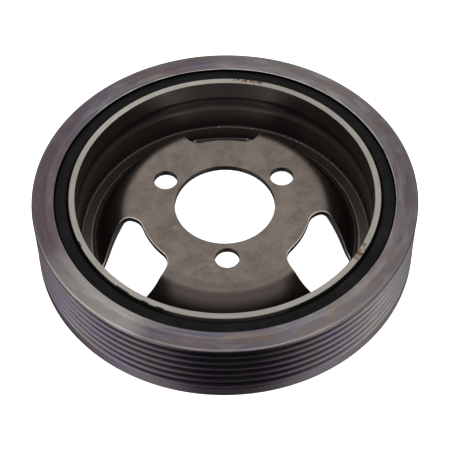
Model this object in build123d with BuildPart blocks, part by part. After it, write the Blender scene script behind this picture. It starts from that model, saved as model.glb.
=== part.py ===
from build123d import *
from math import radians, tan
import os

# Crankshaft pulley with a rubber-sprung belt ring, in millimetres.
# The axis is Z and the open side of the cup faces +Z. The origin is the centre of the
# bore on the rear face of the hub plate, which seats on the end of the crankshaft.
# The radii build up from the bore outwards, to a ring that is 138.5 across.

# Plate in the middle of the hub pressing, bolted to the crankshaft
sheet = 2.25  # thickness of the pressing all over
bore_d = 36.4
bolt_web = 2.1  # sheet left between the bore and a bolt hole
bolt_hole_d = 8.7
bolt_count = 3
first_bolt_angle = -90.0
plate_margin = 12.9  # from the bolt circle to the edge where the slope would start unbent

# Cup round the plate, of the same sheet
plate_recess = 7.5  # from the rim down to the front face of the plate
slope_run = 9.45  # radial, from that edge of the plate to the unbent foot of the slope
gutter = 6.8  # floor between the foot of the slope and the wall
shoulder_r = 5.5  # bend at the edge of the plate, on its front face
foot_r = 5.3  # bend at the foot of the slope, on its front face
corner_r = 1.0  # bend between floor and wall, inside the cup
rim_break = 0.12  # broken edges of the faced rim

# Windows between the bolts, pierced through the plate's edge and the slope
window_web = 13.0  # sheet left between the bore and a window
window_width = 28.6
window_end_width = 20.3  # at the end by the wall
window_taper = 6.7  # length over which the sides close in, along the radius
window_inner_r = 5.8  # corners nearer the bore
window_side_r = 12.0  # where the sides start to close in
window_outer_r = 1.8  # corners nearer the wall
window_foot_gap = 0.6  # between a window and the foot of the slope
window_break = 0.35  # edges of the sheet rolled over by the punch

# Bulge rolled into the cup wall, which keeps the rubber from creeping along it
bulge_place = 10.85  # from the rim down to its middle
bulge_depth = 1.0
bulge_lean = 30.5  # degrees between a flank and the axis
bulge_flat = 2.2  # between the flanks, on the inner face
bulge_lip_r = 1.0  # where it leaves the wall, on the outer face
bulge_r = 2.0  # where it is deepest, on the inner face

# Rubber between the cup and the ring
rubber = 5.1  # radial thickness
rubber_recess = 1.4  # edges of its front face below the face of the ring
rubber_crown = 0.9  # rise of its end faces in the middle

# Belt ring, with the grooves of a ribbed belt
ring_wall = 8.1  # radial, from the bore of the ring to its flanges
rim_proud = 0.15  # rim of the cup above the face of the ring
floor_rise = 0.35  # underside of the cup above the rear face of the ring
ring_chamfer = 0.35
bore_chamfer = 0.3
groove_count = 6
groove_pitch = 3.56
first_groove = 2.85  # from the face of the ring to the middle of the first groove
rear_land = 6.4  # from the middle of the last groove to the rear face of the ring
groove_angle = 40.0
groove_root = 0.6  # flat at the bottom of a groove
rib_crest = 0.5  # flat on top of a rib
crest_drop = 0.1  # tops of the ribs below the two flanges

# Radii that follow from these
bore_r = bore_d / 2
bolt_circle_r = bore_r + bolt_web + bolt_hole_d / 2
shoulder_x = bolt_circle_r + plate_margin
foot_x = shoulder_x + slope_run
wall_inner_r = foot_x + gutter
wall_outer_r = wall_inner_r + sheet
ring_bore_r = wall_outer_r + rubber
ring_r = ring_bore_r + ring_wall
crest_r = ring_r - crest_drop
window_near_r = bore_r + window_web
window_far_x = foot_x - window_foot_gap
window_taper_x = window_far_x - window_taper

# Heights that follow from these
plate_z = sheet
rim_z = plate_z + plate_recess
face_z = rim_z - rim_proud
groove_span = (groove_count - 1) * groove_pitch
ring_width = first_groove + groove_span + rear_land
ring_bottom_z = face_z - ring_width
cup_bottom_z = ring_bottom_z + floor_rise
floor_z = cup_bottom_z + sheet
bulge_z = rim_z - bulge_place
rubber_front_z = face_z - rubber_recess
rubber_rear_z = floor_z + corner_r  # where the outside of the wall comes straight

# Grooves: each flank runs on past the rib's crest to clear the flange beside it
flank_slope = tan(radians(groove_angle / 2))
crest_mouth = groove_pitch - rib_crest
groove_depth = (crest_mouth - groove_root) / 2 / flank_slope
root_r = crest_r - groove_depth
groove_top_r = ring_r + crest_drop
groove_mouth = groove_root + 2 * (groove_top_r - root_r) * flank_slope
first_groove_z = face_z - first_groove
groove_places = [first_groove_z - i * groove_pitch for i in range(groove_count)]
groove_middle_z = first_groove_z - groove_span / 2

# Corners of the bulge on the inner face of the wall, from the bottom up
bulge_ramp = bulge_depth / tan(radians(bulge_lean))
bulge_bottom_r = wall_inner_r + bulge_depth
bulge_steps = [
    (wall_inner_r, bulge_z - bulge_flat / 2 - bulge_ramp),
    (bulge_bottom_r, bulge_z - bulge_flat / 2),
    (bulge_bottom_r, bulge_z + bulge_flat / 2),
    (wall_inner_r, bulge_z + bulge_flat / 2 + bulge_ramp),
]
bulge_bends = [bulge_lip_r + sheet, bulge_r, bulge_r, bulge_lip_r + sheet]


def bent_line(corners, bends, depth):
    # Outline of a bent sheet at this depth behind its front face. The depth lies to the
    # right of the line, so each left turn gets a larger bend and each right turn a smaller.
    points = [Vector(*corner) for corner in corners]
    runs = [(b - a).normalized() for a, b in zip(points, points[1:])]
    sides = [Vector(run.Y, -run.X) for run in runs]
    moved = [points[0] + sides[0] * depth]
    radii = []
    for point, before, after, bend in zip(points[1:-1], sides, sides[1:], bends):
        moved.append(point + (before + after) * (depth / (1 + before.dot(after))))
        turns_left = before.cross(after).Z > 0
        radii.append(bend + depth if turns_left else bend - depth)
    moved.append(points[-1] + sides[-1] * depth)
    return FilletPolyline(*moved, radius=radii)


def bulged_wall(gap, low_z, high_z):
    # Line that follows the outside of the cup wall at this gap, from the bottom up
    corners = [(wall_inner_r, low_z), *bulge_steps, (wall_inner_r, high_z)]
    shifted = [(x + gap, z) for x, z in corners]
    return bent_line(shifted, bulge_bends, sheet)


# Corners of the front face of the pressing, from the bore to the rim
hub_corners = [
    (bore_r, plate_z),
    (shoulder_x, plate_z),
    (foot_x, floor_z),
    (wall_inner_r, floor_z),
    *bulge_steps,
    (wall_inner_r, rim_z),
]
hub_bends = [shoulder_r, foot_r, corner_r, *bulge_bends]

with BuildPart() as hub:
    with BuildSketch(Plane.XZ):
        with BuildLine():
            front = bent_line(hub_corners, hub_bends, 0)
            back = bent_line(hub_corners, hub_bends, sheet)
            Line(front @ 0, back @ 0)
            Line(front @ 1, back @ 1)
        make_face()
    revolve(axis=Axis.Z)
    rim_edges = hub.edges().filter_by(GeomType.CIRCLE).group_by(Axis.Z)[-1]
    chamfer(rim_edges, rim_break)

    # Bolt holes
    with PolarLocations(bolt_circle_r, bolt_count, start_angle=first_bolt_angle):
        Hole(bolt_hole_d / 2)

    # Windows half way between the bolts, narrower at the end by the wall
    with BuildSketch(mode=Mode.PRIVATE) as window:
        with BuildLine():
            Polyline(
                (window_far_x, -window_end_width / 2),
                (window_taper_x, -window_width / 2),
                (bore_r, -window_width / 2),
                (bore_r, window_width / 2),
                (window_taper_x, window_width / 2),
                (window_far_x, window_end_width / 2),
                close=True,
            )
        make_face()
        Circle(window_near_r, mode=Mode.SUBTRACT)
        far_corners = window.vertices().group_by(Axis.X)[-1]
        fillet(far_corners, window_outer_r)
        side_corners = window.vertices().group_by(Axis.X)[1]
        fillet(side_corners, window_side_r)
        near_corners = window.vertices().group_by(Axis.X)[0]
        fillet(near_corners, window_inner_r)
    with BuildSketch(Plane.XY.offset(cup_bottom_z)):
        with PolarLocations(0, bolt_count, start_angle=first_bolt_angle + 180 / bolt_count):
            add(window.sketch)
    extrude(amount=rim_z - cup_bottom_z, mode=Mode.SUBTRACT)
    punched = hub.edges(Select.LAST).filter_by(Axis.Z, reverse=True)
    fillet(punched, window_break)
hub.part.label = "hub"

# Rubber, face to face with the cup wall and with the ring
with BuildPart() as rubber_ring:
    middle_r = (wall_outer_r + ring_bore_r) / 2
    with BuildSketch(Plane.XZ):
        with BuildLine():
            bulged_wall(0, rubber_rear_z, rubber_front_z)
            ThreePointArc(
                (wall_outer_r, rubber_front_z),
                (middle_r, rubber_front_z + rubber_crown),
                (ring_bore_r, rubber_front_z),
            )
            bulged_wall(rubber, rubber_rear_z, rubber_front_z)
            ThreePointArc(
                (ring_bore_r, rubber_rear_z),
                (middle_r, rubber_rear_z - rubber_crown),
                (wall_outer_r, rubber_rear_z),
            )
        make_face()
    revolve(axis=Axis.Z)
rubber_ring.part.label = "rubber_ring"

# Belt ring: two flanges, the grooves between them and the bulged bore
with BuildPart() as belt_ring:
    with BuildSketch(mode=Mode.PRIVATE) as groove:
        with BuildLine():
            Polyline(
                (root_r, -groove_root / 2),
                (root_r, groove_root / 2),
                (groove_top_r, groove_mouth / 2),
                (groove_top_r, -groove_mouth / 2),
                close=True,
            )
        make_face()
    with BuildSketch(Plane.XZ) as section:
        with BuildLine():
            bulged_wall(rubber, ring_bottom_z, face_z)
            Polyline(
                (ring_bore_r, face_z),
                (ring_r, face_z),
                (ring_r, ring_bottom_z),
                (ring_bore_r, ring_bottom_z),
            )
        make_face()
        outer_corners = section.vertices().group_by(Axis.X)[-1]
        chamfer(outer_corners, ring_chamfer)
        ends = section.vertices().group_by(Axis.X)[0]
        bore_corners = [ends.sort_by(Axis.Y)[0], ends.sort_by(Axis.Y)[-1]]
        chamfer(bore_corners, bore_chamfer)
        with Locations((crest_r, groove_middle_z)):
            Rectangle(2 * crest_drop, groove_span, align=(Align.MIN, Align.CENTER), mode=Mode.SUBTRACT)
        with Locations(*[(0, z) for z in groove_places]):
            add(groove.sketch, mode=Mode.SUBTRACT)
    revolve(axis=Axis.Z)
belt_ring.part.label = "belt_ring"

os.makedirs("parts", exist_ok=True)
export_step(hub.part, "parts/hub.step")
export_step(rubber_ring.part, "parts/rubber_ring.step")
export_step(belt_ring.part, "parts/belt_ring.step")
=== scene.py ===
from math import cos, radians, sin, tan

import bpy
from mathutils import Matrix, Vector


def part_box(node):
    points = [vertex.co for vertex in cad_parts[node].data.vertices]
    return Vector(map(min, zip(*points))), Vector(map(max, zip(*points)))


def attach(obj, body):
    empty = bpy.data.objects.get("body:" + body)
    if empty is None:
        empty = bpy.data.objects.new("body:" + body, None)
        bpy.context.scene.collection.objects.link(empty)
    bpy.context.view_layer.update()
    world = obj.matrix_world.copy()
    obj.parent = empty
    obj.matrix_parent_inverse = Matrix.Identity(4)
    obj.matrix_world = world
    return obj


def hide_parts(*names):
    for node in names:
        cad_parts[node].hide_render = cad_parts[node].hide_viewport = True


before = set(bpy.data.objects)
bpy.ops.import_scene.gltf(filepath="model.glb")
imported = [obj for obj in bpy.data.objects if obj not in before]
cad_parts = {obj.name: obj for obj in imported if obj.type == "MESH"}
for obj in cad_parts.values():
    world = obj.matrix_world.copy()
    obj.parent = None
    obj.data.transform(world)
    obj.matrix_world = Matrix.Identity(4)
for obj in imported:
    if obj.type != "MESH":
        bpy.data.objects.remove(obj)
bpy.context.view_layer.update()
scene = bpy.context.scene
mm = 0.001

ringLow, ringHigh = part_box("belt_ring")
hubLow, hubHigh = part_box("hub")


# Node maths, shared by the finishes and the geometry trees

class Wire:
    # one output socket; sums and products on it add their Math nodes
    def __init__(self, tree, socket):
        self.tree = tree
        self.socket = socket

    def math(self, operation, *terms):
        settings = {"operation": operation}
        return addNode(self.tree, "ShaderNodeMath", settings, dict(enumerate(terms)))

    def __add__(self, other):
        return self.math("ADD", self, other)

    def __radd__(self, other):
        return self.math("ADD", other, self)

    def __sub__(self, other):
        return self.math("SUBTRACT", self, other)

    def __rsub__(self, other):
        return self.math("SUBTRACT", other, self)

    def __mul__(self, other):
        return self.math("MULTIPLY", self, other)

    def __rmul__(self, other):
        return self.math("MULTIPLY", other, self)

    def __truediv__(self, other):
        return self.math("DIVIDE", self, other)

    def __rtruediv__(self, other):
        return self.math("DIVIDE", other, self)

    def __pow__(self, other):
        return self.math("POWER", self, other)

    def __abs__(self):
        return self.math("ABSOLUTE", self)

    def above(self, level):
        return self.math("GREATER_THAN", self, level)

    def floored(self):
        return self.math("FLOOR", self)

    def between(self, low, high, atLow=0.0, atHigh=1.0):
        # soft step while the value runs from low to high
        settings = {"interpolation_type": "SMOOTHSTEP"}
        values = {0: self, 1: low, 2: high, 3: atLow, 4: atHigh}
        return addNode(self.tree, "ShaderNodeMapRange", settings, values)

    def within(self, near, far):
        # 1 up to near, and softly down to 0 at far
        return self.between(near, far, 1.0, 0.0)


def addNode(tree, kind, settings=None, values=None, out=0):
    node = tree.nodes.new(kind)
    for name, setting in (settings or {}).items():
        setattr(node, name, setting)
    for name, value in (values or {}).items():
        socket = node.inputs[name]
        if isinstance(value, Wire):
            tree.links.new(value.socket, socket)
        elif socket.type == "RGBA":
            socket.default_value = (*value, 1.0)
        else:
            socket.default_value = value
    return Wire(tree, node.outputs[out]) if node.outputs else None


def allOutputs(wire):
    # every output of the node that a wire comes from
    return [Wire(wire.tree, socket) for socket in wire.socket.node.outputs]


def splitVector(wire):
    return allOutputs(addNode(wire.tree, "ShaderNodeSeparateXYZ", None, {0: wire}))


def joinVector(x, y, z):
    return addNode(x.tree, "ShaderNodeCombineXYZ", None, {0: x, 1: y, 2: z})


def blendColour(share, first, second):
    values = {0: share, 6: first, 7: second}
    return addNode(share.tree, "ShaderNodeMix", {"data_type": "RGBA"}, values, out=2)


# Turned pieces: corners of a section, rounded and swept round the axis, with grooves cut in by rule

turnInputs = [
    ("Geometry", "NodeSocketGeometry"),
    ("Radius", "NodeSocketFloat"),
    ("Segments", "NodeSocketInt"),
    ("Rounding Steps", "NodeSocketInt"),
    ("Groove Count", "NodeSocketInt"),
    ("Groove Pitch", "NodeSocketFloat"),
    ("First Groove Height", "NodeSocketFloat"),
    ("Root Radius", "NodeSocketFloat"),
    ("Root Flat", "NodeSocketFloat"),
    ("Root Rounding", "NodeSocketFloat"),
    ("Flank Slope", "NodeSocketFloat"),
    ("Crest Drop", "NodeSocketFloat"),
    ("Crest Rounding", "NodeSocketFloat"),
    ("Material", "NodeSocketMaterial"),
]
grooveCorners = 4  # crest, root, root, crest
grooveOrder = 100  # the grooves follow the front corners of a section
rearOrder = 1000  # and its rear corners follow the grooves
mergeDistance = 0.002 * mm


def turningTree():
    tree = bpy.data.node_groups.new("turning", "GeometryNodeTree")
    for name, kind in turnInputs:
        tree.interface.new_socket(name, in_out="INPUT", socket_type=kind)
    tree.interface.new_socket("Geometry", in_out="OUTPUT", socket_type="NodeSocketGeometry")
    given = {wire.socket.name: wire for wire in allOutputs(addNode(tree, "NodeGroupInput"))}

    # corners of the grooves, from the front to the rear; the first and the last lie on the flanges
    cornerCount = given["Groove Count"] * grooveCorners
    index = addNode(tree, "GeometryNodeInputIndex")
    groove = (index / grooveCorners).floored()
    corner = index - groove * grooveCorners
    isEnd = 1 - index.above(0.5) * (1 - index.above(cornerCount - 1.5))
    isRoot = corner.above(0.5) * (1 - corner.above(2.5))
    side = 1 - 2 * corner.above(1.5)
    crest = given["Radius"] - given["Crest Drop"] * (1 - isEnd)
    reach = given["Root Radius"] * isRoot + crest * (1 - isRoot)
    halfMouth = given["Root Flat"] * 0.5 + (reach - given["Root Radius"]) * given["Flank Slope"]
    height = given["First Groove Height"] - given["Groove Pitch"] * groove + side * halfMouth
    bend = given["Root Rounding"] * isRoot + given["Crest Rounding"] * (1 - isRoot)
    grooves = addNode(tree, "GeometryNodePoints", None,
                      {"Count": cornerCount, "Position": joinVector(reach, 0.0, height)})
    for name, value in (("bend", bend), ("order", index + grooveOrder)):
        grooves = addNode(tree, "GeometryNodeStoreNamedAttribute", {"data_type": "FLOAT"},
                          {"Geometry": grooves, "Name": name, "Value": value})

    # one closed line through the plain corners and the grooves, rounded at each corner
    bends, order = [
        addNode(tree, "GeometryNodeInputNamedAttribute", {"data_type": "FLOAT"}, {"Name": name})
        for name in ("bend", "order")
    ]
    plain = addNode(tree, "GeometryNodeMeshToPoints", None, {"Mesh": given["Geometry"]})
    join = addNode(tree, "GeometryNodeJoinGeometry", None, {0: grooves})
    tree.links.new(plain.socket, join.socket.node.inputs[0])
    line = addNode(tree, "GeometryNodePointsToCurves", None, {"Points": join, "Weight": order})
    line = addNode(tree, "GeometryNodeSetSplineCyclic", None, {"Geometry": line, "Cyclic": True})
    line = addNode(tree, "GeometryNodeFilletCurve", {"mode": "POLY"}, {
        "Curve": line, "Count": given["Rounding Steps"], "Radius": bends, "Limit Radius": True})

    # the section lies flat, its radii measured from the circle that it is swept along
    x, y, z = splitVector(addNode(tree, "GeometryNodeInputPosition"))
    flat = joinVector(x - given["Radius"], 0 - z, 0.0)
    line = addNode(tree, "GeometryNodeSetPosition", None, {"Geometry": line, "Position": flat})
    circle = addNode(tree, "GeometryNodeCurvePrimitiveCircle", None,
                     {"Resolution": given["Segments"], "Radius": given["Radius"]})
    skin = addNode(tree, "GeometryNodeCurveToMesh", None, {"Curve": circle, "Profile Curve": line})
    skin = addNode(tree, "GeometryNodeMergeByDistance", None,
                   {"Geometry": skin, "Distance": mergeDistance})
    skin = addNode(tree, "GeometryNodeSetShadeSmooth", None, {"Geometry": skin})
    skin = addNode(tree, "GeometryNodeRealizeInstances", None, {"Geometry": skin})
    skin = addNode(tree, "GeometryNodeSetMaterial", None,
                   {"Geometry": skin, "Material": given["Material"]})
    addNode(tree, "NodeGroupOutput", None, {"Geometry": skin})
    return tree


def turnPiece(name, tree, frontCorners, rearCorners, sizes):
    # each corner of the section is a radius, a height and a bend
    corners = [*frontCorners, *rearCorners]
    orders = [*range(len(frontCorners)), *range(rearOrder, rearOrder + len(rearCorners))]
    bends = [bend for radius, height, bend in corners]
    mesh = bpy.data.meshes.new(name)
    mesh.from_pydata([(radius, 0, height) for radius, height, bend in corners], [], [])
    for label, values in (("bend", bends), ("order", orders)):
        attribute = mesh.attributes.new(label, "FLOAT", "POINT")
        for item, value in zip(attribute.data, values):
            item.value = value
    piece = bpy.data.objects.new(name, mesh)
    scene.collection.objects.link(piece)
    turning = piece.modifiers.new("turning", "NODES")
    turning.node_group = tree
    for item in tree.interface.items_tree:
        if item.in_out == "INPUT" and item.name in sizes:
            turning[item.identifier] = sizes[item.name]
    weighted = piece.modifiers.new("flat faces stay flat", "WEIGHTED_NORMAL")
    weighted.weight = 100
    evaluated = piece.evaluated_get(bpy.context.evaluated_depsgraph_get())
    piece.data = bpy.data.meshes.new_from_object(evaluated)
    piece.modifiers.clear()
    bpy.data.meshes.remove(mesh)
    piece.data.name = name
    print(f"{name}: {len(piece.data.polygons)} faces")
    return piece


# Bulged joint between the cup wall, the rubber and the ring

bulge = {
    "height": hubHigh.z - 10.85 * mm,
    "depth": 1.0 * mm,
    "halfFlat": 1.1 * mm,
    "halfLength": 2.8 * mm,
    "lipBend": 1.0 * mm,
    "bend": 2.0 * mm,
}


def bulgedLine(radius, low, high):
    # corners of a wall of the joint, from low to high
    deep = radius + bulge["depth"]
    return [
        (radius, low, 0.0),
        (radius, bulge["height"] - bulge["halfLength"], bulge["lipBend"]),
        (deep, bulge["height"] - bulge["halfFlat"], bulge["bend"]),
        (deep, bulge["height"] + bulge["halfFlat"], bulge["bend"]),
        (radius, bulge["height"] + bulge["halfLength"], bulge["lipBend"]),
        (radius, high, 0.0),
    ]


# What the finishes share

def startFinish(name):
    # a material, and the place of each point, whole and as x, y, z and radius from the axis
    material = bpy.data.materials.new(name)
    material.use_nodes = True
    material.node_tree.nodes.clear()
    place = addNode(material.node_tree, "ShaderNodeTexCoord", out="Object")
    x, y, z = splitVector(place)
    radius = (x * x + y * y) ** 0.5
    return material, place, (x, y, z, radius)


def cloud(place, size, detail=3.0, low=0.35, high=0.65, roughness=0.55, distortion=0.0):
    # soft patches about this size across, from 0 to 1
    values = {"Vector": place, "Scale": 1 / size, "Detail": detail, "Roughness": roughness,
              "Distortion": distortion}
    return addNode(place.tree, "ShaderNodeTexNoise", None, values, out="Fac").between(low, high)


def latheLines(spots, width, drift):
    # lines round the axis, as a tool leaves them, which change slowly along their length
    x, y, z, radius = spots
    diagonal = x + y * 0.6
    place = joinVector(radius / width, z / width, diagonal / drift)
    return cloud(place, 1.0, detail=2.0, low=0.3, high=0.7, roughness=0.6)


def bearingOf(spots):
    x, y, z, radius = spots
    return y.math("ARCTAN2", y, x)


fadeStart = 0.6  # share of the reach that is left at full strength


def nearBearings(bearing, places, reach, share):
    # this share at these bearings, and none beyond the reach; both in degrees
    far = radians(reach)
    total = 0
    for place in places:
        total = abs(bearing - radians(place)).within(far * fadeStart, far) + total
    return total * share


def summed(shares, *masks):
    # the first share all over, and each further one where its mask is
    level = shares[0]
    for share, mask in zip(shares[1:], masks):
        level = mask * share + level
    return level


def layered(tint, layers):
    # each layer is a mask and a colour laid over the tint through it
    for mask, colour in layers:
        tint = blendColour(mask, tint, colour)
    return tint


def endFinish(material, varying, constants, height=None, bumpSize=0.0):
    # varying is what changes over the surface, and constants what is the same all over
    tree = material.node_tree
    if height is not None:
        bump = {"Strength": 1.0, "Distance": bumpSize, "Height": height}
        varying = {**varying, "Normal": addNode(tree, "ShaderNodeBump", None, bump)}
    shader = addNode(tree, "ShaderNodeBsdfPrincipled", None, {**constants, **varying})
    addNode(tree, "ShaderNodeOutputMaterial", None, {"Surface": shader})
    return material


# Belt ring: turned steel with two flanges and the grooves of a ribbed belt between them

print("belt ring")
turning = turningTree()
beltRing = {
    "wall": 8.1 * mm,
    "edge": 0.35 * mm,
    "boreEdge": 0.3 * mm,
    "edgeBend": 0.28 * mm,
    "grooveCount": 6,
    "groovePitch": 3.56 * mm,
    "firstGroove": 2.85 * mm,  # from the face to the middle of the first groove
    "grooveAngle": radians(40),
    "rootFlat": 0.6 * mm,
    "rootRounding": 0.25 * mm,
    "crestFlat": 0.5 * mm,
    "crestDrop": 0.1 * mm,
    "crestRounding": 0.12 * mm,
    "roundingSteps": 3,
    "segments": 320,
    # tints of the face
    "violet": (0.049, 0.038, 0.052),
    "brown": (0.071, 0.049, 0.044),
    "blue": (0.044, 0.048, 0.064),
    "bare": (0.107, 0.101, 0.096),
    # the pale tint is a painted highlight, laid on at the bearings given below
    "pale": (0.182, 0.169, 0.156),
    # painted shade towards the left and the right of the face
    "sideShade": (0.041, 0.028, 0.033),
    # tints of the grooved wall
    "wallViolet": (0.104, 0.084, 0.108),
    "wallBrown": (0.101, 0.086, 0.084),
    "wallBlue": (0.094, 0.091, 0.116),
    "wallOlive": (0.112, 0.110, 0.094),
    # painted shade in the grooves, low on the wall and on the ribs at the left
    "wallShade": (0.030, 0.026, 0.030),
    # painted shade over the front of the grooved wall
    "frontShade": (0.012, 0.010, 0.013),
    # painted highlight on the edges, stronger where worn
    "wearAndHighlight": (0.42, 0.40, 0.37),
    # patches: squeeze, which draws them out round the ring, size, detail, and where they set in
    "brownPatches": (3, 15 * mm, 4, 0.40, 0.60),
    "bluePatches": (5, 8.25 * mm, 5, 0.42, 0.62),
    "barePatches": (-4, 10.5 * mm, 5, 0.45, 0.70),
    "wearPatches": (2, 14 * mm, 5, 0.30, 0.60),
    "fineLines": (0.16 * mm, 30 * mm),  # width, and length over which they change
    "broadLines": (0.9 * mm, 40 * mm),
    "lineHeight": 0.003 * mm,
    # face: bearings of the places with a painted highlight, their reach in degrees and share
    "highlightPlaces": ((-137,), 24, 0.8),
    "softHighlightPlaces": ((-45, 60), 40, 0.22),
    "faceDepth": (0.1 * mm, 0.3 * mm),
    "blueShare": 0.65,
    "bareShares": (0.0, 0.5, 0.35),  # all over, in bare patches and in broad lines
    "paleShares": (0.7, 0.3),
    "sideShadeReach": (42 * mm, 66 * mm),
    "sideShadeShares": (-20 * mm, 20 * mm, 0.55, 0.3),  # painted shade at the sides, from the left to the right
    # wall: depths in from the flanges, and heights above the rear face
    "grooveDepth": (0.25 * mm, 1.6 * mm),
    "deepest": 5 * mm,
    "ribHeight": (3.5 * mm, 5 * mm),
    "rearHeight": (0.3 * mm, 5.5 * mm),
    "rearReach": (15 * mm, 45 * mm),
    "wallBlueShare": 0.7,
    "oliveReach": (28 * mm, 50 * mm),
    "oliveShares": (0.35, 0.4),
    "leftRibShade": (-50 * mm, -30 * mm, 0.24, 0.0),  # painted shade on the ribs, on the left
    "grooveShade": 0.04,
    "rearShade": 0.25,
    "frontShadeReach": (5 * mm, 36 * mm, 0.95, 0.0),
    "frontShadeShares": (0.12, 0.88),  # painted shade on the rear flange, and added on the ribs
    "frontShadeInGroove": (1.0, -0.5),
    # edges with a painted highlight, stronger in the wear patches
    "outerEdge": (0.4 * mm, 0.85 * mm),
    "outerHighlightFront": (25 * mm, 70 * mm, 0.05, 1.0),  # towards the front, leaning to the left
    "outerLean": 0.3,
    "outerMiddle": (2 * mm, 22 * mm, 0.35, 1.0),
    "outerLeft": (25 * mm, 50 * mm),
    "outerShares": (0.12, 0.2, 0.2),  # all round, where worn, and on the left
    "innerEdge": (0.32 * mm, 0.42 * mm),
    "innerReach": (-30 * mm, 30 * mm),
    "innerShare": 0.6,
    "roughness": (0.17, 0.1, 0.07, 0.06, 0.14),  # all over, face, broad lines, brown, grooves
    "constants": {"Metallic": 1.0, "Anisotropic": 0.6, "Specular Tint": (0.5, 0.48, 0.48)},
}
ringRadius = ringHigh.x
ringBore = ringRadius - beltRing["wall"]


def ringPatches(spots, squeeze, size, detail, low, high):
    # patches as if the skin of the ring lay at one radius, drawn out along it by the squeeze
    x, y, z, radius = spots
    around = ringRadius / radius
    place = joinVector(x * around, y * around, (radius - z) * squeeze)
    return cloud(place, size, detail, low, high)


def ringFaceTint(look, spots, brown, blue, bare, lines):
    x, y, z, radius = spots
    bearing = bearingOf(spots)
    places = [nearBearings(bearing, *look[name]) for name in ("highlightPlaces", "softHighlightPlaces")]
    # painted shade towards both sides of the face, more on the left
    sideShade = abs(x).between(*look["sideShadeReach"]) * x.between(*look["sideShadeShares"])
    return layered(blendColour(brown, look["violet"], look["brown"]), [
        (blue * look["blueShare"], look["blue"]),
        (summed(look["bareShares"], bare, lines), look["bare"]),
        # painted highlight at its bearings, stronger in the bare patches
        ((places[0] + places[1]) * summed(look["paleShares"], bare), look["pale"]),
        (sideShade, look["sideShade"]),
    ])


def ringWallTint(look, spots, brown, blue, bare, inGroove):
    # painted shade: darker in the grooves, low on the wall towards the front and the back, on the
    # ribs at the left and over the front
    x, y, z, radius = spots
    aboveRear = z - ringLow.z
    onRibs = aboveRear.between(*look["ribHeight"])
    olive = x.between(*look["oliveReach"]) * summed(look["oliveShares"], bare)
    nearRear = aboveRear.within(*look["rearHeight"]) * abs(x).within(*look["rearReach"])
    shadedWall = inGroove * look["grooveShade"] + nearRear * look["rearShade"] * (1 - inGroove)
    # painted shade over the front of the wall, less in the grooves
    frontShade = abs(x).between(*look["frontShadeReach"]) * (1 - y.above(0.0))
    frontShade = frontShade * summed(look["frontShadeShares"], onRibs) * summed(look["frontShadeInGroove"], inGroove)
    return layered(blendColour(brown, look["wallViolet"], look["wallBrown"]), [
        (blue * look["wallBlueShare"], look["wallBlue"]),
        (olive, look["wallOlive"]),
        (x.between(*look["leftRibShade"]) * onRibs, look["wallShade"]),
        (shadedWall, look["wallShade"]),
        (frontShade, look["frontShade"]),
    ])


def turnedSteel(look):
    material, place, spots = startFinish("turned_steel")
    x, y, z, radius = spots
    brown, blue, bare, wear = [
        ringPatches(spots, *look[name])
        for name in ("brownPatches", "bluePatches", "barePatches", "wearPatches")
    ]
    lines = latheLines(spots, *look["broadLines"])
    belowFace, inward = ringHigh.z - z, ringRadius - radius
    onFace = belowFace.within(*look["faceDepth"])
    inGroove = inward.between(*look["grooveDepth"]) * (1 - inward.above(look["deepest"]))
    faceTint = ringFaceTint(look, spots, brown, blue, bare, lines)
    wallTint = ringWallTint(look, spots, brown, blue, bare, inGroove)

    # painted highlight along the outer edge towards the front and left, and along the bore edge
    # towards the back right
    outer = (inward + belowFace).within(*look["outerEdge"]) * abs(x).between(*look["outerMiddle"])
    outer = outer * (0 - y - x * look["outerLean"]).between(*look["outerHighlightFront"])
    outer = outer * summed(look["outerShares"], wear, (0 - x).between(*look["outerLeft"]))
    inner = (radius - ringBore + belowFace).within(*look["innerEdge"]) * onFace
    inner = inner * wear * (x + y).between(*look["innerReach"]) * look["innerShare"]
    tint = layered(blendColour(onFace, wallTint, faceTint), [
        (outer, look["wearAndHighlight"]),
        (inner, look["wearAndHighlight"]),
    ])
    roughness = summed(look["roughness"], onFace, lines, brown, inGroove)
    return endFinish(material, {"Base Color": tint, "Roughness": roughness}, look["constants"],
                     latheLines(spots, *look["fineLines"]), look["lineHeight"])


flankSlope = tan(beltRing["grooveAngle"] / 2)
grooveMouth = beltRing["groovePitch"] - beltRing["crestFlat"]
grooveDepth = (grooveMouth - beltRing["rootFlat"]) / 2 / flankSlope
edge, boreEdge, edgeBend = beltRing["edge"], beltRing["boreEdge"], beltRing["edgeBend"]
ring = turnPiece("turned_belt_ring", turning, [
    (ringBore + boreEdge, ringHigh.z, edgeBend),
    (ringRadius - edge, ringHigh.z, edgeBend),
    (ringRadius, ringHigh.z - edge, edgeBend),
], [
    (ringRadius, ringLow.z + edge, edgeBend),
    (ringRadius - edge, ringLow.z, edgeBend),
    (ringBore + boreEdge, ringLow.z, edgeBend),
    *bulgedLine(ringBore, ringLow.z + boreEdge, ringHigh.z - boreEdge),
], {
    "Radius": ringRadius,
    "Segments": beltRing["segments"],
    "Rounding Steps": beltRing["roundingSteps"],
    "Groove Count": beltRing["grooveCount"],
    "Groove Pitch": beltRing["groovePitch"],
    "First Groove Height": ringHigh.z - beltRing["firstGroove"],
    "Root Radius": ringRadius - beltRing["crestDrop"] - grooveDepth,
    "Root Flat": beltRing["rootFlat"],
    "Root Rounding": beltRing["rootRounding"],
    "Flank Slope": flankSlope,
    "Crest Drop": beltRing["crestDrop"],
    "Crest Rounding": beltRing["crestRounding"],
    "Material": turnedSteel(beltRing),
})
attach(ring, "root")
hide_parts("belt_ring")


# Rubber, pressed in between the cup and the ring, with a crowned bead at each end

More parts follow.
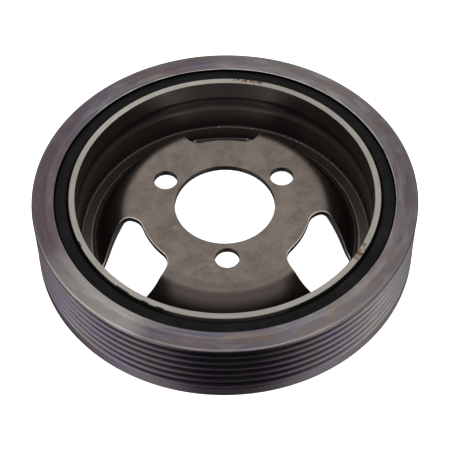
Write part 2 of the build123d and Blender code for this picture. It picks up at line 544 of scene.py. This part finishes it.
print("rubber")
rubberRing = {
    "thickness": 5.1 * mm,
    "recess": 1.4 * mm,
    "crown": 0.9 * mm,
    "crownBend": 5 * mm,
    "shoulder": 0.45,  # share of the crown that its sides keep
    "shoulderBend": 1.2 * mm,
    "gapWidth": 0.35 * mm,  # open groove between the bead and the cup
    "gapDepth": 0.7 * mm,
    "gapBend": 0.1 * mm,
    "outerGap": 0.8 * mm,
    "outerEdge": 0.5,  # share of the crown at the ring
    "rearRecess": 3.25 * mm,
    "roundingSteps": 5,
    "segments": 256,
    "colour": (0.0016, 0.0016, 0.0018),
    "dustAndSheen": (0.006, 0.0055, 0.0055),
    "dustPatches": (9 * mm, 5, 0.45, 0.75),
    "sheenShares": (-50 * mm, 50 * mm, 1.0, 0.3),  # dust with a painted sheen, from the front to the back
    "grain": 0.5 * mm,
    "grainHeight": 0.02 * mm,
    "roughness": (0.5, 0.12),
    "constants": {"Specular IOR Level": 0.05},
}


def mouldedRubber(look):
    material, place, (x, y, z, radius) = startFinish("moulded_rubber")
    # dust, with a painted sheen that is stronger at the front
    dustySheen = cloud(place, *look["dustPatches"]) * y.between(*look["sheenShares"])
    grain = cloud(place, look["grain"])
    return endFinish(material, {
        "Base Color": blendColour(dustySheen, look["colour"], look["dustAndSheen"]),
        "Roughness": summed(look["roughness"], grain),
    }, look["constants"], grain, look["grainHeight"])


innerWall = ringBore - rubberRing["thickness"]
middle = (innerWall + ringBore) / 2
front = ringHigh.z - rubberRing["recess"]
rear = hubLow.z + rubberRing["rearRecess"]
crown, crownBend = rubberRing["crown"], rubberRing["crownBend"]
shoulder, shoulderBend = front + crown * rubberRing["shoulder"], rubberRing["shoulderBend"]
gapEdge, gapFoot = innerWall + rubberRing["gapWidth"], front - rubberRing["gapDepth"]
rubber = turnPiece("moulded_rubber_ring", turning, [
    (gapEdge, gapFoot, rubberRing["gapBend"]),
    (gapEdge, shoulder, shoulderBend),
    (middle, front + crown, crownBend),
    (ringBore - rubberRing["outerGap"], shoulder, shoulderBend),
    *reversed(bulgedLine(ringBore, rear, front + crown * rubberRing["outerEdge"])),
    (middle, rear - crown, crownBend),
    *bulgedLine(innerWall, rear, gapFoot),
], [], {
    "Radius": middle,
    "Segments": rubberRing["segments"],
    "Rounding Steps": rubberRing["roundingSteps"],
    "Groove Count": 0,
    "Material": mouldedRubber(rubberRing),
})
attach(rubber, "root")
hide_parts("rubber_ring")


# Hub pressing: its CAD solid has the shape, and takes a finish of dark coating, worn in places,
# with painted shade in the cup and painted highlights

print("hub")
hubPressing = {
    "sheet": 2.25 * mm,
    "coat": (0.081, 0.066, 0.056),
    "coatDark": (0.061, 0.050, 0.043),
    "coatPale": (0.096, 0.086, 0.077),
    # painted shade: the coating darker down in the cup
    "cupShade": (0.052, 0.042, 0.037),
    # painted light on the near side of the slope
    "slopeLight": (0.152, 0.124, 0.112),
    # painted highlight on lines at the foot of the slope and on the wall's ridge
    "lineHighlight": (0.27, 0.23, 0.20),
    "scuff": (0.135, 0.122, 0.112),
    "rust": (0.055, 0.030, 0.020),
    # painted highlight on the rolled edges of the windows and holes
    "edge": (0.42, 0.39, 0.35),
    # dark colour of the cut faces and the nicks, and painted shade on the cup wall
    "cutAndShade": (0.02, 0.018, 0.017),
    "faced": (0.158, 0.148, 0.132),
    "facedDark": (0.086, 0.079, 0.070),
    "facedPale": (0.26, 0.24, 0.21),
    # patches in the coating: size and detail, and for the wisps where they set in and their twist
    "mottle": (7 * mm, 5),
    "speckle": (1.4 * mm, 4),
    "wisps": (14 * mm, 3, 0.5, 0.75, 0.55, 1.5),
    "paleShares": (0.0, 0.3, 0.3),
    "cupRadius": (37 * mm, 44 * mm),
    # scuffs on the plate: x, y, half length and half width
    "scuffs": (
        (-7.0 * mm, -28.2 * mm, 5.5 * mm, 3.0 * mm),
        (-6.5 * mm, -38.4 * mm, 9.0 * mm, 1.3 * mm),
        (-16.0 * mm, -10.0 * mm, 6.0 * mm, 2.0 * mm),
    ),
    "scuffCore": (0.3, 1.0),
    "scuffGrain": (1.2 * mm, 3, 0.45, 0.65),
    "scuffShare": 0.6,
    # painted highlights: pale lines at the foot of the slope, radius and share
    "footHighlights": ((49.6 * mm, 0.9), (48.2 * mm, 0.4)),
    "footHighlightWidth": (0.12 * mm, 0.4 * mm),
    "footHighlightReach": (20 * mm, 45 * mm),
    "footHighlightFacing": 0.7,
    # the near side of the slope is less metallic, and paler with painted light
    "mattRadius": (36.5 * mm, 40 * mm),
    "mattFrom": (24 * mm, 29 * mm),
    "mattReach": (17.5 * mm, 24 * mm),
    "mattHeight": (-7.5 * mm, -1.2 * mm),
    # cup wall, given painted shade: radii from its inner face, and heights from the rear face of
    # the plate
    "wall": (-3.8 * mm, -0.8 * mm),
    "lowWall": (-1.8 * mm, -0.3 * mm),
    "lowWallHeight": (-12 * mm, -6 * mm),
    "lowWallShare": 0.65,
    "farReach": (5 * mm, 30 * mm),
    "farShare": 0.35,
    "shade": ((61,), 9, 0.5),  # bearing, reach in degrees and share
    "bulge": (0.2 * mm, 0.8 * mm),
    "bulgeShare": 0.8,
    "ridge": (-5.4 * mm, -4.6 * mm, -4.0 * mm, -3.2 * mm),
    "ridgeShare": 0.1,
    # windows and holes
    "cutReach": (33.0 * mm, 33.6 * mm),
    "cutSide": (0.12, 0.4),
    "cutFacing": (0.1, 0.35),
    "edgeFacing": (0.2, 0.5),
    "edgeShare": 0.8,
    # faced rim: depths below it, and distances in from its outer edge
    "facedDepth": (0.10 * mm, 0.16 * mm),
    "rimLines": (0.25 * mm, 20 * mm),
    "rimLineShare": 0.6,
    "paleRim": ((118,), 42, 0.25),  # bearings, reach in degrees and share, as in the next three
    "nicks": ((-156.6, -131.8, -129.0, -120.9, -114.9), 1.8, 1.0),
    "rustSpecks": ((-35, -32.5, -30), 2.0, 0.8),
    "stains": ((75, 79, 83), 2.5, 1.0),
    "nickDepth": (0.35 * mm, 0.55 * mm),
    "stainDepth": (1.0 * mm, 1.6 * mm),
    "pits": (1.5 * mm, 3, 0.44, 0.54),
    "roughness": (0.42, -0.08, -0.06),  # all over, in mottles and on the faced rim
    "metallic": (0.92, -0.27, -0.5, 0.35),  # all over, on the wall, on the matt slope, on the rim
    "bumpShares": (0.0, 0.7, 0.3),
    "bumpHeight": 0.012 * mm,
    "constants": {"Specular Tint": (0.5, 0.48, 0.46)},
}
cupWall = innerWall - hubPressing["sheet"]


def scuffedCoat(look, coat, spots):
    x, y, z, radius = spots
    drawnOut = joinVector(x * 0.3 + y * 0.1, y * 2, z)  # along x
    grain = cloud(drawnOut, *look["scuffGrain"])
    for left, near, length, width in look["scuffs"]:
        across, along = (x - left) / length, (y - near) / width
        scuffed = ((across * across + along * along) ** 0.5).within(*look["scuffCore"])
        coat = blendColour(scuffed * grain * look["scuffShare"], coat, look["scuff"])
    return coat


def facedSteel(look, spots, place):
    x, y, z, radius = spots
    bearing = bearingOf(spots)
    paleRim, nicked, rusted, stained = [
        nearBearings(bearing, *look[name])
        for name in ("paleRim", "nicks", "rustSpecks", "stains")
    ]
    fromEdge = innerWall - radius
    pitted = cloud(place, *look["pits"])
    lines = latheLines(spots, *look["rimLines"]) * look["rimLineShare"]
    return layered(blendColour(lines, look["faced"], look["facedDark"]), [
        (paleRim, look["facedPale"]),
        (nicked * fromEdge.within(*look["nickDepth"]), look["cutAndShade"]),
        (rusted * pitted, look["rust"]),
        (stained * pitted * fromEdge.within(*look["stainDepth"]), look["rust"]),
    ])


def coatedSteel(look):
    material, place, spots = startFinish("coated_steel")
    x, y, z, radius = spots
    facing = splitVector(addNode(material.node_tree, "ShaderNodeTexCoord", out="Normal"))
    outward = (facing[0] * x + facing[1] * y) / radius
    sideways = abs(facing[1] * x - facing[0] * y) / radius
    mottle = cloud(place, *look["mottle"])
    speckle = cloud(place, *look["speckle"])
    wisps = cloud(place, *look["wisps"])
    inCup = radius.between(*look["cupRadius"])
    # the coating is darker in the cup: painted shade
    coat = layered(blendColour(mottle, look["coatDark"], look["coat"]), [
        (summed(look["paleShares"], speckle, wisps), look["coatPale"]),
        (inCup, look["cupShade"]),
    ])
    coat = scuffedCoat(look, coat, spots)
    # painted highlights as pale lines at the foot of the slope, at its sides
    for line, share in look["footHighlights"]:
        onLine = abs(radius - line).within(*look["footHighlightWidth"])
        onLine = onLine * facing[2].above(look["footHighlightFacing"])
        onLine = onLine * abs(x).between(*look["footHighlightReach"]) * share
        coat = blendColour(onLine, coat, look["lineHighlight"])

    # the near side of the slope: less metallic, and paler with painted light
    mattLitSlope = radius.between(*look["mattRadius"]) * (0 - y).between(*look["mattFrom"])
    mattLitSlope = mattLitSlope * abs(x).within(*look["mattReach"]) * z.between(*look["mattHeight"])
    fromWall = radius - cupWall
    onWall = fromWall.between(*look["wall"])
    lowWall = fromWall.between(*look["lowWall"]) * z.within(*look["lowWallHeight"])
    farWall = onWall * y.between(*look["farReach"])
    ridgeLow, ridgeHigh = look["ridge"][:2], look["ridge"][2:]
    onRidge = z.between(*ridgeLow) * z.within(*ridgeHigh) * inCup
    # in the cup: painted light on the near slope, painted shade low on the wall, on the far wall,
    # at one bearing and in the bulge, and a painted highlight on the ridge
    coat = layered(coat, [
        (mattLitSlope, look["slopeLight"]),
        (lowWall * look["lowWallShare"], look["cutAndShade"]),
        (farWall * look["farShare"], look["cutAndShade"]),
        (nearBearings(bearingOf(spots), *look["shade"]) * farWall, look["cutAndShade"]),
        (fromWall.between(*look["bulge"]) * look["bulgeShare"], look["cutAndShade"]),
        (onRidge * look["ridgeShare"], look["lineHighlight"]),
    ])

    # windows and holes: a painted highlight on the rolled edge at the front, and a dark cut face
    # below it
    cutSide = sideways + abs(outward) * radius.within(*look["cutReach"])
    cutSide = cutSide.between(*look["cutSide"])
    # painted highlight on the rolled edge
    rolledEdgeHighlight = cutSide * facing[2].between(*look["edgeFacing"]) * look["edgeShare"]
    faced = (hubHigh.z - z).within(*look["facedDepth"])
    tint = layered(coat, [
        (cutSide * facing[2].within(*look["cutFacing"]), look["cutAndShade"]),
        (rolledEdgeHighlight, look["edge"]),
        (faced, facedSteel(look, spots, place)),
    ])
    return endFinish(material, {
        "Base Color": tint,
        "Roughness": summed(look["roughness"], mottle, faced),
        "Metallic": summed(look["metallic"], onWall, mattLitSlope, faced),
    }, look["constants"], summed(look["bumpShares"], mottle, speckle), look["bumpHeight"])


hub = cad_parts["hub"]
hubSteel = coatedSteel(hubPressing)
for slot in hub.material_slots:
    slot.material = hubSteel


# Studio: a pale floor, which doesn't show in the metal

print("studio")
studio = {
    "floorSize": 3.0,
    "floorFinish": {
        "Base Color": (0.5, 0.5, 0.5), "Roughness": 0.9, "Specular IOR Level": 0.0,
        "Emission Color": (1.0, 1.0, 1.0), "Emission Strength": 0.95,
    },
}
mesh = bpy.data.meshes.new("floor")
reach = studio["floorSize"]
corners = [(-reach, -reach), (reach, -reach), (reach, reach), (-reach, reach)]
mesh.from_pydata([(x, y, ringLow.z) for x, y in corners], [], [(0, 1, 2, 3)])
floor = bpy.data.objects.new("floor", mesh)
scene.collection.objects.link(floor)
paleFloor = startFinish("pale_floor")[0]
mesh.materials.append(endFinish(paleFloor, {}, studio["floorFinish"]))
floor.visible_glossy = False

# softboxes: azimuth and elevation in degrees, distance, width, height and power
softboxes = {
    "above": (90, 60, 1.2, 1.0, 0.8, 2),
    "left": (182, 42, 1.0, 0.5, 0.6, 1.5),
    "right": (-4, 42, 1.0, 0.5, 0.6, 1.5),
}


def aim(azimuth, elevation):
    # unit vector from the object towards a light or the camera
    flat = cos(radians(elevation))
    turned = radians(azimuth)
    return Vector((cos(turned) * flat, sin(turned) * flat, sin(radians(elevation))))


for name, (azimuth, elevation, distance, width, height, power) in softboxes.items():
    lamp = bpy.data.lights.new(name, "AREA")
    lamp.shape = "RECTANGLE"
    lamp.size = width
    lamp.size_y = height
    lamp.energy = power
    light = bpy.data.objects.new(name, lamp)
    direction = aim(azimuth, elevation)
    light.location = direction * distance
    light.rotation_euler = direction.to_track_quat("Z", "Y").to_euler()
    scene.collection.objects.link(light)

# the room that the metal mirrors: bright overhead, dark at eye level in front, and pale at the
# sides below; a range runs over one coordinate of the direction, and gives where a change starts
# and ends
room = {
    "front": 1.7,
    "back": 1.9,
    "frontToBack": (-0.9, 0.0),
    "eyeLevelFront": 0.03,  # shares of these that are left at eye level
    "eyeLevelBack": 0.35,
    "eyeLevelRange": (-0.4, 0.6),
    "eyeLevelTop": (0.25, 0.6),
    "belowDark": 0.36,
    "belowPale": 1.9,
    "paleRange": (0.3, 0.85),
    "belowBack": 0.25,  # shares of the pale sides that are left behind and on the left
    "backRange": (-0.1, 0.6),
    "belowLeft": 0.58,
    "leftRange": (-0.3, 0.1),
    "leftFrom": (-0.4, 0.2),
}
world = bpy.data.worlds.new("room")
world.use_nodes = True
tree = world.node_tree
tree.nodes.clear()
x, y, z = splitVector(addNode(tree, "ShaderNodeTexCoord", out="Generated"))
level = (x * x + y * y) ** 0.5 + 0.001  # never quite 0, straight up and down
sideways = abs(x) / level
below = sideways.between(*room["paleRange"], room["belowDark"], room["belowPale"])
below = below * y.between(*room["backRange"], 1.0, room["belowBack"])
onLeft = x.within(*room["leftRange"]) * y.between(*room["leftFrom"])
below = below * (1 - onLeft * (1 - room["belowLeft"]))
eyeLevel = y.between(*room["eyeLevelRange"], room["eyeLevelFront"], room["eyeLevelBack"])
above = y.between(*room["frontToBack"], room["front"], room["back"])
above = above * z.between(*room["eyeLevelTop"], eyeLevel, 1.0)
upper = z.above(0.0)
glow = below * (1 - upper) + above * upper
backdrop = addNode(tree, "ShaderNodeBackground", None,
                   {"Color": joinVector(glow, glow, glow), "Strength": 1.0})
addNode(tree, "ShaderNodeOutputWorld", None, {"Surface": backdrop})
scene.world = world

# camera, where the photographer stood
view = {
    "azimuth": -91.28,
    "elevation": 51.22,
    "roll": -0.88,
    "distance": 524.4 * mm,
    "faceRight": -0.115 * mm,  # where the middle of the ring's face lies from the line of sight
    "faceDown": -12.25 * mm,
    "focal": 1462 / 450,  # in widths of the picture
    "sensor": 36,
    "nearest": 0.01,
}
forward = -aim(view["azimuth"], view["elevation"])
right = forward.cross(Vector((0, 0, 1))).normalized()
down = forward.cross(right)
roll = radians(view["roll"])
right, down = right * cos(roll) - down * sin(roll), right * sin(roll) + down * cos(roll)
faceCentre = Vector((0, 0, ringHigh.z))
eye = faceCentre - right * view["faceRight"] - down * view["faceDown"] - forward * view["distance"]
lens = bpy.data.cameras.new("camera")
lens.sensor_width = view["sensor"]
lens.lens = view["focal"] * lens.sensor_width
lens.clip_start = view["nearest"]
camera = bpy.data.objects.new("camera", lens)
turn = Matrix((right, -down, -forward)).transposed().to_4x4()
camera.matrix_world = Matrix.Translation(eye) @ turn
scene.collection.objects.link(camera)
scene.camera = camera
scene.view_settings.view_transform = "Standard"
